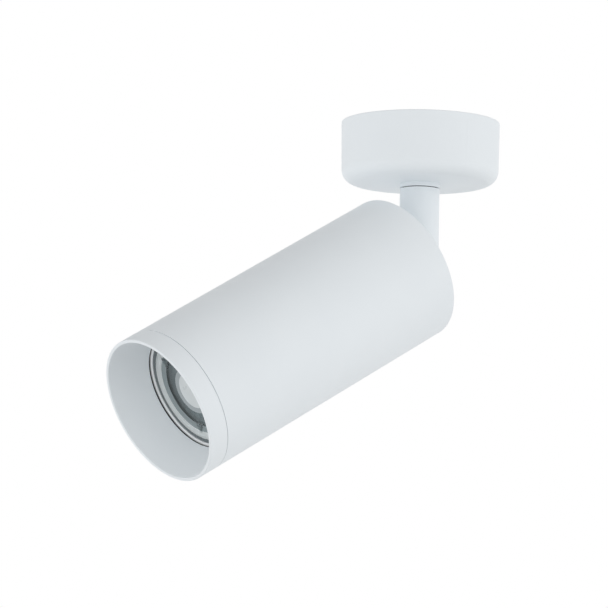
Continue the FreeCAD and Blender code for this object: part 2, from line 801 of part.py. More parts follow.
def stem():
    """The short round stem, bored for the leads and forked at its rounded lower end."""
    radius = size("stem_radius")
    end = pivot_height - radius
    bar = rod("stem_bar", radius, "Z", (0, 0), pivot_height, stem_top)
    round_end = overlap("stem_round_end", rod("stem_lower", radius, "Z", (0, 0), end, pivot_height),
                        rod("stem_cheek", radius, "X", (0, pivot_height), -radius, radius))
    half = size("fork_slot_width") / 2
    cuts = [
        rod("stem_thread", size("nipple_radius") + thread, "Z", (0, 0),
            nipple_low - size("seat_clearance") * 3, stem_top + PAST),
        rod("stem_bore", size("nipple_bore"), "Z", (0, 0), fork_root - PAST, stem_top),
        box("fork_slot", (-half, half), (-radius - PAST, size("fork_slot_back")),
            (end - PAST, fork_root)),
        rod("fork_hole", size("pivot_screw_radius") + size("running_clearance"), "X",
            (0, pivot_height), -radius - PAST, radius + PAST)]
    sink = size("pivot_head_radius") + size("pivot_head_clearance")
    cuts.append(rod("fork_sink_left", sink, "X", (0, pivot_height), -radius - PAST, -pivot_seat))
    cuts.append(rod("fork_sink_right", sink, "X", (0, pivot_height), pivot_seat, radius + PAST))
    finish("stem", drill("stem_cut", join("stem_blank", bar, round_end), *cuts))


def friction_washers():
    """Two washers between the fork's ears and the yoke's cheeks."""
    ear = size("fork_slot_width") / 2
    inner = ear - size("friction_washer_thickness")
    discs = [tube("friction_washer_%s" % word, size("friction_washer_radius"),
                  size("pivot_screw_radius") + gap, low, high, "X", (0, pivot_height))
             for word, low, high in (("left", -ear, -inner), ("right", inner, ear))]
    finish("tilt_friction_washers", group("friction_washers", *discs))


def sleeve_in_stem():
    """The sleeved leads inside the nipple and the stem, straight down the swivel's axis."""
    finish("lead_sleeve_in_stem", rod("stem_sleeve", size("sleeve_radius"), "Z", (0, 0),
                                      fork_root, sleeve_top))


# ---------------------------------------------------------------- tilts with the head

def sleeve_in_knuckle():
    """The same sleeve where it bends between the yoke's cheeks, on the tilt axis."""
    turn = math.radians(180 - size("tilt_angle").value)
    upper = fork_root.value - pivot_height.value
    start = (0, upper * math.sin(turn), upper * math.cos(turn))
    points = [start, (0, 0, 0), (0, 0, yoke_base_rear)]
    finish_head("lead_sleeve_in_knuckle", cord("knuckle_sleeve", points, size("sleeve_radius")))


def sleeve_in_head():
    """The end of the sleeve, past the rear plate, where the leads part."""
    finish_head("lead_sleeve_in_head", rod("head_sleeve", size("sleeve_radius"), "Z", (0, 0),
                                           yoke_base_rear, sleeve_end))


def knuckle_yoke():
    """Two cheeks on a round base: the cheeks turn between the fork's ears."""
    width = size("yoke_width") / 2
    height = size("yoke_half_height")
    nose = rod("yoke_nose", height, "X", (0, 0), -width, width)
    bar = box("yoke_bar", (-width, width), (-height, height), (0, yoke_base_rear))
    base = rod("yoke_base", size("stem_radius"), "Z", (0, 0), yoke_base_rear, cap_rear)
    slot = size("yoke_slot_width") / 2
    cuts = [
        box("yoke_slot", (-slot, slot), (-height - PAST, height + PAST),
            (-height - PAST, yoke_base_rear)),
        rod("yoke_lead_hole", size("sleeve_radius") + size("grommet_wall"), "Z", (0, 0),
            yoke_base_rear - PAST, cap_rear + PAST),
        rod("yoke_pivot_thread", size("pivot_screw_radius") + thread, "X", (0, 0),
            -width - PAST, width + PAST)]
    for number, side in enumerate((-1, 1)):
        cuts.append(rod("yoke_thread_%d" % number, size("yoke_screw_radius"), "Z",
                        (0, size("yoke_screw_offset") * side),
                        yoke_base_rear + size("yoke_thread_floor"), cap_rear + PAST))
    finish_head("knuckle_yoke", drill("yoke_cut", join("yoke_blank", nose, bar, base), *cuts))


def pivot_screws():
    """Two short screws through the ears into the cheeks: the tilt axis."""
    tip = size("yoke_slot_width") / 2 + size("pivot_tip_past_slot")
    screws = [screw("pivot_screw_left", size("pivot_screw_radius"), size("pivot_head_radius"),
                    size("pivot_head_height"), "X", (0, 0), -pivot_seat - gap, -tip),
              screw("pivot_screw_right", size("pivot_screw_radius"), size("pivot_head_radius"),
                    size("pivot_head_height"), "X", (0, 0), pivot_seat + gap, tip)]
    finish_head("tilt_pivot_screws", group("pivot_screws", *screws))


def cap_screw_places():
    count = int(size("cap_screw_count").value)
    return [around(size("cap_screw_circle"), 90 + 360.0 * number / count) for number in range(count)]


def rear_cap():
    """The round plate that closes the tube and carries the yoke."""
    radius = bore_radius - size("cap_clearance")
    disc = rod("cap_disc", radius, "Z", (0, 0), cap_rear, flange_rear)
    head_seat = cap_rear + size("cap_screw_sink")
    cuts = [rod("cap_lead_hole", size("sleeve_radius") + size("grommet_wall"), "Z", (0, 0),
                cap_rear - PAST, flange_rear + PAST)]
    for number, centre in enumerate(cap_screw_places()):
        cuts.append(rod("cap_hole_%d" % number,
                        size("cap_screw_radius") + size("cap_screw_clearance"), "Z", centre,
                        cap_rear - PAST, flange_rear + PAST))
        cuts.append(rod("cap_sink_%d" % number,
                        size("cap_screw_head") + size("cap_screw_clearance") * 2, "Z", centre,
                        cap_rear - PAST, head_seat))
    yoke_places = [(0, size("yoke_screw_offset") * side) for side in (-1, 1)]
    for number, centre in enumerate(yoke_places):
        cuts.append(rod("cap_yoke_hole_%d" % number,
                        size("yoke_screw_radius") + size("cap_screw_clearance"), "Z", centre,
                        cap_rear - PAST, flange_rear + PAST))
    finish_head("rear_cap", drill("cap_cut", disc, *cuts))
    screws = [screw("cap_screw_%d" % number, size("cap_screw_radius"), size("cap_screw_head"),
                    size("cap_screw_head_height"), "Z", centre, head_seat,
                    flange_front - size("seat_clearance") * 4)
              for number, centre in enumerate(cap_screw_places())]
    finish_head("rear_cap_screws", group("cap_screws", *screws))
    holders = [screw("yoke_screw_%d" % number, size("yoke_screw_radius"), size("yoke_screw_head"),
                     size("yoke_screw_head_height"), "Z", centre, flange_rear,
                     yoke_base_rear + size("yoke_thread_floor") + gap)
               for number, centre in enumerate(yoke_places)]
    finish_head("yoke_screws", group("yoke_screw_pair", *holders))


def lead_grommet():
    """A soft bush where the sleeve passes the rear cap."""
    outer = size("sleeve_radius") + size("grommet_wall")
    collar = outer + size("grommet_collar")
    inner = size("sleeve_radius") + snug
    low = yoke_base_rear + size("grommet_collar")
    high = flange_rear + size("grommet_collar_height")
    finish_head("lead_grommet", lathe("grommet", [
        (inner, low), (outer - snug, low), (outer - snug, flange_rear), (collar, flange_rear),
        (collar, high), (inner, high)]))


def body_tube():
    """The plain round body, with an inner flange that the cap and the strap screw to."""
    radius = size("body_radius")
    front = seam - size("seam_gap") / 2
    flange = size("flange_bore_radius")
    shell = lathe("body_turned", [
        (radius, body_rear), (radius, front), (bore_radius, front), (bore_radius, flange_front),
        (flange, flange_front), (flange, flange_rear), (bore_radius, flange_rear),
        (bore_radius, body_rear)])
    round_circles(shell, size("body_edge_radius"), [(radius, body_rear)])
    cuts = [rod("flange_thread_%d" % number, size("cap_screw_radius") + thread, "Z", centre,
                flange_rear - PAST, flange_front + PAST)
            for number, centre in enumerate(cap_screw_places())]
    for number, side in enumerate((-1, 1)):
        cuts.append(rod("strap_thread_%d" % number, size("cap_screw_radius") + thread, "Z",
                        (size("strap_screw_circle") * side, 0), flange_rear + snug * 10,
                        flange_front + PAST))
    finish_head("body_tube", drill("body_cut", shell, *cuts))


def holder_strap():
    """A bent steel strap that stands on the flange and carries the lamp holder."""
    half = size("strap_width") / 2
    span = size("strap_half_span")
    thick = size("strap_thickness")
    foot_end = span + size("strap_foot")
    pieces = [box("strap_bridge", (-span, span), (-half, half), (strap_rear, holder_rear))]
    cuts = []
    screws = []
    for number, side in enumerate((-1, 1)):
        leg = (-span, -span + thick) if side < 0 else (span - thick, span)
        foot = (-foot_end, -span + thick) if side < 0 else (span - thick, foot_end)
        pieces.append(box("strap_leg_%d" % number, leg, (-half, half), (flange_front, holder_rear)))
        pieces.append(box("strap_foot_%d" % number, foot, (-half, half),
                          (flange_front, flange_front + thick)))
        cuts.append(rod("strap_foot_hole_%d" % number,
                        size("cap_screw_radius") + size("cap_screw_clearance"), "Z",
                        (size("strap_screw_circle") * side, 0), flange_front - PAST,
                        flange_front + thick + PAST))
        cuts.append(rod("strap_holder_hole_%d" % number, size("holder_screw_radius") + thread, "Z",
                        (size("holder_screw_offset") * side, 0), strap_rear - PAST,
                        holder_rear + PAST))
        cuts.append(rod("strap_lead_hole_%d" % number,
                        size("lead_radius") + size("strap_lead_clearance"), "Z",
                        (0, lead_hole_offset * side), strap_rear - PAST, holder_rear + PAST))
        lift = size("tag_thickness") if side > 0 else 0
        screws.append(screw("strap_screw_%d" % number, size("cap_screw_radius"),
                            size("strap_screw_head"), size("strap_screw_head_height"), "Z",
                            (size("strap_screw_circle") * side, 0),
                            flange_front + thick + lift, flange_rear + snug * 14))
    blank = join("strap_blank", *pieces)
    trim = rod("strap_trim", bore_radius - gap * 2, "Z", (0, 0), flange_front - PAST,
               holder_rear + PAST)
    finish_head("holder_strap", overlap("strap_trimmed", drill("strap_cut", blank, *cuts), trim))
    finish_head("holder_strap_screws", group("strap_screws", *screws))


def earth_tag():
    """A ring tag under one strap screw, for the earth lead."""
    low = flange_front + size("strap_thickness")
    high = low + size("tag_thickness")
    centre = (size("strap_screw_circle"), 0)
    half = size("tag_tail_half")
    ring = rod("tag_ring", size("tag_radius"), "Z", centre, low, high)
    tail = box("tag_tail", (centre[0] - half, centre[0] + half),
               (-size("strap_width") / 2 - size("tag_tail_reach"), 0), (low, high))
    hole = rod("tag_hole", size("cap_screw_radius") + size("cap_screw_clearance"), "Z", centre,
               low - PAST, high + PAST)
    finish_head("earth_ring_tag", drill("tag_cut", join("tag_blank", ring, tail), hole))


def head_leads():
    """Live and neutral to the lamp holder, earth to the ring tag."""
    for name, side in (("live_lead_in_head", -1), ("neutral_lead_in_head", 1)):
        x, y = around(size("lead_circle"), 180 - 60 * side)
        away = lead_hole_offset * side
        points = [
            (x, y, sleeve_end), (x, y, sleeve_end + 8), (x + 3 * side, away * 0.9, sleeve_end + 17),
            (x + 2 * side, away * 1.3, strap_rear - 11), (0, away, strap_rear - 4.5),
            (0, away, holder_rear + 2)]
        finish_head(name, cord(name + "_route", points, size("lead_radius")))
    x, y = around(size("lead_circle"), 0)
    tag_x = size("strap_screw_circle")
    tag_y = -size("strap_width") / 2 - size("tag_tail_reach") / 2
    tag_top = flange_front + size("strap_thickness") + size("tag_thickness")
    points = [
        (x, y, sleeve_end), (x, y, sleeve_end + 6), (x + 5, y - 2.5, sleeve_end + 12),
        (x + 14, tag_y * 0.8, sleeve_end + 13), (tag_x, tag_y, sleeve_end + 8),
        (tag_x, tag_y, tag_top)]
    finish_head("earth_lead_in_head", cord("earth_lead_route", points, size("lead_radius")))


def pin_places():
    return [size("pin_spacing") * (0.5 * side) for side in (-1, 1)]


def lamp_holder():
    """The ceramic twist-and-lock holder: two keyed slots over a hollow chamber."""
    puck = rod("holder_puck", size("holder_radius"), "Z", (0, 0), holder_rear, holder_front)
    face = holder_front - size("holder_face_thickness")
    pocket = holder_rear + size("holder_back")
    head_seat = holder_front - size("holder_screw_sink")
    cuts = []
    contacts = []
    for number, side in enumerate((-1, 1)):
        radius = size("pin_spacing") / 2
        for step in range(5):
            centre = around(radius, 90 * side - size("twist_angle").value * step / 4.0)
            name = "keyway_%d_%d" % (number, step)
            cuts.append(rod(name + "_slot", size("pin_radius") + size("holder_slot_clearance"), "Z",
                            centre, pocket, holder_front + PAST))
            cuts.append(rod(name + "_chamber",
                            size("pin_head_radius") + size("holder_chamber_clearance"), "Z", centre,
                            pocket, face))
        centre = around(radius, 90 * side - size("twist_angle").value)
        cuts.append(rod("entry_%d" % number, size("pin_head_radius") + size("lamp_clearance"), "Z",
                        centre, pocket, holder_front + PAST))
        cuts.append(rod("holder_lead_hole_%d" % number, size("lead_radius") + gap * 2, "Z",
                        (0, lead_hole_offset * side), holder_rear - PAST, pocket + PAST))
        place = (size("holder_screw_offset") * side, 0)
        cuts.append(rod("holder_screw_hole_%d" % number, size("holder_screw_radius") + gap, "Z",
                        place, holder_rear - PAST, holder_front + PAST))
        cuts.append(rod("holder_sink_%d" % number, size("holder_screw_sink_radius"), "Z", place,
                        head_seat, holder_front + PAST))
        middle = size("pin_spacing") * (0.5 * side)
        across, deep = size("contact_half_width"), size("contact_half_depth")
        contacts.append(box("contact_%d" % number, (-across, across), (middle - deep, middle + deep),
                            (pocket, lamp_rear - size("pin_length") - size("lamp_clearance"))))
    finish_head("lamp_holder", drill("holder_cut", puck, *cuts))
    finish_head("holder_contacts", group("contacts", *contacts))
    screws = [screw("holder_screw_%d" % number, size("holder_screw_radius"),
                    size("holder_screw_head"), size("holder_screw_head_height"), "Z",
                    (size("holder_screw_offset") * side, 0), head_seat,
                    strap_rear - size("strap_thickness") * 1.5)
              for number, side in enumerate((-1, 1))]
    finish_head("lamp_holder_screws", group("holder_screws", *screws))


# ---------------------------------------------------------------- the lamp

def lamp_pins():
    pins = []
    for number, place in enumerate(pin_places()):
        end = lamp_rear - size("pin_length")
        pins.append(join("pin_%d" % number,
                         rod("pin_shank_%d" % number, size("pin_radius"), "Z", (0, place), end,
                             lamp_rear + size("pin_root")),
                         rod("pin_head_%d" % number, size("pin_head_radius"), "Z", (0, place), end,
                             end + size("pin_head_height"))))
    finish_head("lamp_pins", group("pins", *pins))


def lamp_base():
    """The lamp's narrow rear part, which holds its pins and driver."""
    radius = size("base_radius")
    wall = size("lamp_wall")
    shell = lathe("base_turned", [
        (0, lamp_rear), (radius, lamp_rear), (radius + 1, base_front), (radius + 1 - wall, base_front),
        (radius - wall, base_floor_front), (0, base_floor_front)])
    holes = [rod("base_pin_hole_%d" % number, size("pin_radius") + thread, "Z", (0, place),
                 lamp_rear - PAST, base_floor_front + PAST)
             for number, place in enumerate(pin_places())]
    finish_head("lamp_base", drill("base_cut", shell, *holes))
    edge = radius - wall - size("lamp_clearance")
    thick = size("driver_half_thickness")
    driver = box("driver", (-edge, edge), (-thick, thick),
                 (base_floor_front + size("lamp_clearance"), base_front + size("driver_past_base")))
    finish_head("lamp_driver_board", driver)


def lamp_housing():
    """The lamp's cup, from its base out to the bezel."""
    start = size("base_radius") + 1
    full = size("lamp_radius") - size("housing_set_in")
    wall = size("lamp_wall")
    flare = bezel_rear - size("housing_straight")
    shoulder = start + size("housing_shoulder")
    shoulder_front = base_front + size("housing_shoulder_height")
    step = size("housing_shoulder") / 3
    finish_head("lamp_housing", lathe("housing_turned", [
        (start - wall, base_front), (start, base_front), (shoulder, shoulder_front),
        (full, flare), (full, bezel_rear), (full - wall, bezel_rear),
        (full - wall, flare + step), (shoulder - wall, shoulder_front + step)]))


def lamp_bezel():
    """The white ring seen round the lens."""
    full = size("lamp_radius")
    inner = full - size("bezel_wall")
    opening = full - size("bezel_rim")
    bezel = lathe("bezel_turned", [
        (full, bezel_rear), (full, lamp_front), (opening, lamp_front), (opening, lens_front),
        (inner, lens_front), (inner, bezel_rear)])
    round_circles(bezel, size("bezel_outer_round"), [(full, lamp_front)])
    round_circles(bezel, size("bezel_inner_round"), [(opening, lamp_front)])
    finish_head("lamp_bezel", bezel)


def lamp_lens():
    """A clear disc with a raised round middle and three small tabs on its face."""
    edge = size("lamp_radius") - size("lens_set_in")
    puck = size("lens_puck_radius")
    raised = lens_front + size("lens_puck_height")
    disc = lathe("lens_turned", [
        (0, lens_rear), (edge, lens_rear), (edge, lens_front),
        (puck + size("lens_puck_slope"), lens_front), (puck, raised), (0, raised)])
    count = int(size("lens_tab_count").value)
    tabs = [lens_tab("lens_tab_%d" % number, FIRST_TAB + 360.0 * number / count)
            for number in range(count)]
    finish_head("lamp_lens", join("lens_joined", disc, *tabs))


def lens_tab(name, turn):
    """A low three-sided wedge that points outwards."""
    inner = size("lens_tab_inner")
    outer = size("lamp_radius") - size("bezel_rim") - size("lens_tab_gap")
    half = size("lens_tab_half_width")
    corners = [(inner, -half), (outer, 0), (inner, half)]
    body = plate(name, corners, lens_front - size("lens_tab_root"), size("lens_tab_thickness"))
    body.Placement = FreeCAD.Placement(FreeCAD.Vector(0, 0, 0),
                                       FreeCAD.Rotation(FreeCAD.Vector(0, 0, 1), turn))
    return body


def lamp_reflector():
    """The grey cup behind the lens, with the small board and its light source."""
    mouth = size("lamp_radius") - size("reflector_mouth_set_in")
    throat = size("reflector_throat")
    front = lens_rear - gap
    rear = front - size("reflector_depth")
    finish_head("lamp_reflector", lathe("reflector_turned", [
        (throat, rear), (mouth - 3.2, front - 3.5), (mouth, front), (mouth + 1.0, front),
        (mouth - 2.2, front - 4), (throat + 1, rear)]))
    board_low = rear - size("led_board_thickness")
    finish_head("lamp_led_board", rod("led_board", throat + size("led_board_past_throat"), "Z",
                                      (0, 0), board_low, rear))
    chip_high = rear + size("led_chip_height")
    finish_head("lamp_led_chip", rod("led_chip", size("led_chip_radius"), "Z", (0, 0), rear,
                                     chip_high))
    guide_end = size("lens_puck_radius") - size("light_guide_gap")
    finish_head("lamp_light_guide", taper("light_guide", size("light_guide_foot"), guide_end, (0, 0),
                                          chip_high + size("light_guide_gap"), lens_rear - snug))
    finish_head("lamp_heat_spreader", rod("spreader", throat + size("spreader_past_throat"), "Z",
                                          (0, 0), board_low - size("spreader_thickness"),
                                          board_low))


# ---------------------------------------------------------------- the front ring

def front_ring():
    """The screwed ring that holds the lamp: a thin rim, a white cone and a skirt."""
    radius = size("body_radius")
    rear = seam + size("seam_gap") / 2
    skirt = bore_radius - size("skirt_clearance")
    skirt_inner = skirt - size("skirt_thickness")
    skirt_rear = gasket_rear - size("skirt_reach")
    ring = lathe("ring_turned", [
        (radius, rear), (radius, body_front), (radius - size("rim_width"), body_front),
        (size("baffle_radius"), lip_front), (size("baffle_radius"), lip_rear),
        (skirt_inner, lip_rear), (skirt_inner, skirt_rear), (skirt, skirt_rear), (skirt, rear)])
    round_circles(ring, size("rim_edge_radius"), [(radius, body_front),
                                                  (radius - size("rim_width"), body_front)])
    finish_head("front_ring", ring)


def lamp_gasket():
    """A thin black ring between the cone's lip and the lamp."""
    outer = bore_radius - size("skirt_clearance") - size("skirt_thickness") - gap
    inner = size("baffle_radius") + size("gasket_set_back")
    finish_head("lamp_gasket", tube("gasket", outer, inner, gasket_rear, lip_rear))


# ---------------------------------------------------------------- build, check and write

for make in (ceiling_bracket, canopy, canopy_lock_screw, terminal_block, canopy_leads, swivel_bush,
             stop_pin, swivel_stack, threaded_nipple, swivel_gap_washer, stem, friction_washers,
             sleeve_in_stem, sleeve_in_knuckle, sleeve_in_head, knuckle_yoke, pivot_screws,
             rear_cap, lead_grommet, body_tube, holder_strap, earth_tag, head_leads, lamp_holder,
             lamp_pins, lamp_base, lamp_housing, lamp_bezel, lamp_lens, lamp_reflector, front_ring,
             lamp_gasket):
    make()

doc.recompute()

faults = [item.Name for item in doc.Objects if "Invalid" in item.State or "Error" in item.State]
for part in NODES:
    if part.Shape.isNull() or not part.Shape.isValid() or not part.Shape.Solids:
        faults.append(part.Label)
if faults:
    raise RuntimeError("these objects failed: " + ", ".join(faults))

os.makedirs("parts", exist_ok=True)
for part in NODES:
    part.Shape.exportStep("parts/%s.step" % part.Label)
print("%d nodes" % len(NODES))
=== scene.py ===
import json
import math

import bmesh
import bpy
from mathutils import Matrix, Vector


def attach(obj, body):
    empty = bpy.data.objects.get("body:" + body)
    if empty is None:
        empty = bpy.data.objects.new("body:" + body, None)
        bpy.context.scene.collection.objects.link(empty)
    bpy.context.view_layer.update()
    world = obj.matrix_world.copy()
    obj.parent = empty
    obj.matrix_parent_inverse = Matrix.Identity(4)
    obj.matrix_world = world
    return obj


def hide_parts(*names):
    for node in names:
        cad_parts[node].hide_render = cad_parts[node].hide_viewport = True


# Surface mounted ceiling spotlight. Metres, in the CAD frame: the origin is on the ceiling, in the
# middle of the bracket, and +Z points up.

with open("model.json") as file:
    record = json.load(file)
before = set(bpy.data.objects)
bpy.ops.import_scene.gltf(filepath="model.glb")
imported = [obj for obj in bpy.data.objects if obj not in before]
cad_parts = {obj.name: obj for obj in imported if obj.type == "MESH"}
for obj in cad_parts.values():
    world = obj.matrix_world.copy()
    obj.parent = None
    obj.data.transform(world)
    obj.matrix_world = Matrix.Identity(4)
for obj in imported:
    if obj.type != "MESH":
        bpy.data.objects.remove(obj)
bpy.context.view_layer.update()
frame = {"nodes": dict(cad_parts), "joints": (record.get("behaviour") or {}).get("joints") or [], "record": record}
nodes = frame["nodes"]
joints = {joint["name"]: joint for joint in frame["joints"]}

MM = 0.001


# ---------------------------------------------------------------- measuring the CAD nodes

def head_axes():
    """Local X is the tilt axis, and local Z runs from it out through the lamp's face."""
    out = Vector(joints["front_ring_off"]["axis"]).normalized()
    across = -Vector(joints["head_tilt"]["axis"]).normalized()
    upward = out.cross(across)
    turn = Matrix((across, upward, out)).transposed().to_4x4()
    return Matrix.Translation(Vector(joints["head_tilt"]["pos_m"])) @ turn


HEAD = head_axes()
SAME_HEIGHT = 0.1 * MM


def turned_points(node):
    """(radius, height) of every corner of a CAD node about the head's long axis."""
    inverse = HEAD.inverted()
    places = [inverse @ corner.co for corner in nodes[node].data.vertices]
    return [(math.hypot(p.x, p.y), p.z) for p in places]


def heights(node):
    """Where a CAD node starts and ends along the head's axis."""
    found = [height for radius, height in turned_points(node)]
    return min(found), max(found)


def radii(node):
    """The smallest and largest radius of a CAD node."""
    found = [radius for radius, height in turned_points(node)]
    return min(found), max(found)


def radii_at(node, level):
    """The smallest and largest radius of a CAD node at one height."""
    found = [radius for radius, height in turned_points(node)
             if abs(height - level) < SAME_HEIGHT]
    return min(found), max(found)


# ---------------------------------------------------------------- turned meshes

TURN_STEPS = 256
ROUND_STEPS = 5
ON_AXIS = 1e-7
SHARP_ANGLE = math.radians(40)


def rounded(profile):
    """A closed outline of (radius, height, rounding) corners, with an arc at each rounded one."""
    points = []
    for number, (radius, height, rounding) in enumerate(profile):
        corner = Vector((radius, height))
        if rounding == 0:
            points.append(corner)
            continue
        before = Vector(profile[number - 1][:2]) - corner
        after = Vector(profile[(number + 1) % len(profile)][:2]) - corner
        half = before.angle(after) / 2
        reach = rounding / math.tan(half)
        start = corner + before.normalized() * reach
        end = corner + after.normalized() * reach
        halfway = (before.normalized() + after.normalized()).normalized()
        middle = corner + halfway * (rounding / math.sin(half))
        first_spoke = start - middle
        sweep = first_spoke.angle_signed(end - middle)
        for step in range(ROUND_STEPS + 1):
            spoke = first_spoke.copy()
            spoke.rotate(Matrix.Rotation(-sweep * step / ROUND_STEPS, 2))
            points.append(middle + spoke)
    return points


def turned_ring(mesh, radius, height):
    """The corners that one point of an outline leaves as it turns; on the axis, one corner."""
    if radius < ON_AXIS:
        return [mesh.verts.new((0, 0, height))] * TURN_STEPS
    turns = [math.tau * step / TURN_STEPS for step in range(TURN_STEPS)]
    return [mesh.verts.new((radius * math.cos(turn), radius * math.sin(turn), height))
            for turn in turns]


def lathe(name, body, profile, stands_for=()):
    """A turned piece: the outline spun about the head's axis, with flat faces kept flat."""
    mesh = bmesh.new()
    rings = [turned_ring(mesh, radius, height) for radius, height in rounded(profile)]
    for number, ring in enumerate(rings):
        following = rings[(number + 1) % len(rings)]
        if ring[0] is ring[1] and following[0] is following[1]:
            continue
        for step in range(TURN_STEPS):
            after = (step + 1) % TURN_STEPS
            corners = []
            for corner in (ring[step], ring[after], following[after], following[step]):
                if corner not in corners:
                    corners.append(corner)
            mesh.faces.new(corners)
    bmesh.ops.recalc_face_normals(mesh, faces=mesh.faces)
    data = bpy.data.meshes.new(name)
    mesh.to_mesh(data)
    mesh.free()
    data.transform(HEAD)
    return placed(name, data, body, stands_for)


def placed(name, data, body, stands_for=()):
    """Put a finished mesh in the scene, smooth, riding on its body."""
    data.polygons.foreach_set("use_smooth", [True] * len(data.polygons))
    data.set_sharp_from_angle(angle=SHARP_ANGLE)
    piece = bpy.data.objects.new(name, data)
    bpy.context.scene.collection.objects.link(piece)
    even = piece.modifiers.new("even_normals", "WEIGHTED_NORMAL")
    even.keep_sharp = True
    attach(piece, body)
    if stands_for:
        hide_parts(*stands_for)
    return piece


# ---------------------------------------------------------------- materials

TEXTURE_LOW = 0.3
TEXTURE_HIGH = 0.7
DRIFT_SCALE = 45.0
GLOSS_SCALE = 160.0
GLOSS_DRIFT = 0.04
CLEAR_INDEX = 1.49
CLEAR_GLOSS_SCALE = 300.0
CLEAR_GLOSS_DRIFT = 0.03
RIPPLE_SCALE = 500.0
RIPPLE_DEPTH = 0.00001
PLAIN_SPECULAR = 0.5


def new_material(name):
    """An empty material with a Principled shader, and the nodes to build on."""
    material = bpy.data.materials.new(name)
    material.use_nodes = True
    tree = material.node_tree
    shader = tree.nodes["Principled BSDF"]
    return material, tree, shader


def noise(tree, scale, detail):
    """Noise in the object's own coordinates, so it stays on the piece as the piece moves."""
    place = tree.nodes.new("ShaderNodeTexCoord")
    texture = tree.nodes.new("ShaderNodeTexNoise")
    texture.inputs["Scale"].default_value = scale
    texture.inputs["Detail"].default_value = detail
    texture.inputs["Roughness"].default_value = 0.5
    tree.links.new(place.outputs["Object"], texture.inputs["Vector"])
    return texture


def tint(tree, shader, texture, first, second):
    """Let the colour drift between two close shades."""
    ramp = tree.nodes.new("ShaderNodeValToRGB")
    stops = ramp.color_ramp.elements
    for stop, place, shade in zip(stops, (TEXTURE_LOW, TEXTURE_HIGH), (first, second)):
        stop.position = place
        stop.color = (*shade, 1)
    tree.links.new(texture.outputs["Fac"], ramp.inputs["Fac"])
    tree.links.new(ramp.outputs["Color"], shader.inputs["Base Color"])


def gloss(tree, shader, texture, low, high):
    """Let the roughness drift between two values."""
    ranged = tree.nodes.new("ShaderNodeMapRange")
    ranged.inputs["From Min"].default_value = TEXTURE_LOW
    ranged.inputs["From Max"].default_value = TEXTURE_HIGH
    ranged.inputs["To Min"].default_value = low
    ranged.inputs["To Max"].default_value = high
    tree.links.new(texture.outputs["Fac"], ranged.inputs["Value"])
    tree.links.new(ranged.outputs["Result"], shader.inputs["Roughness"])


def bump(tree, shader, texture, depth):
    """Raise the surface by a texture; depth is in metres."""
    raised = tree.nodes.new("ShaderNodeBump")
    raised.inputs["Strength"].default_value = 1.0
    raised.inputs["Distance"].default_value = depth
    tree.links.new(texture.outputs["Fac"], raised.inputs["Height"])
    tree.links.new(raised.outputs["Normal"], shader.inputs["Normal"])


def surface(name, first, second, roughness, grain, depth, metallic=0.0, specular=PLAIN_SPECULAR):
    """A finish with slow colour drift, uneven gloss and a fine grain."""
    material, tree, shader = new_material(name)
    shader.inputs["Metallic"].default_value = metallic
    shader.inputs["Specular IOR Level"].default_value = specular
    tint(tree, shader, noise(tree, DRIFT_SCALE, 3.0), first, second)
    gloss(tree, shader, noise(tree, GLOSS_SCALE, 3.0), roughness - GLOSS_DRIFT,
          roughness + GLOSS_DRIFT)
    bump(tree, shader, noise(tree, grain, 2.0), depth)
    return material


def clear_plastic(name, colour, roughness, transmission=1.0):
    """A clear moulding with faint ripples."""
    material, tree, shader = new_material(name)
    shader.inputs["Base Color"].default_value = (*colour, 1)
    shader.inputs["Transmission Weight"].default_value = transmission
    shader.inputs["IOR"].default_value = CLEAR_INDEX
    gloss(tree, shader, noise(tree, CLEAR_GLOSS_SCALE, 2.0), roughness,
          roughness + CLEAR_GLOSS_DRIFT)
    bump(tree, shader, noise(tree, RIPPLE_SCALE, 1.0), RIPPLE_DEPTH)
    return material


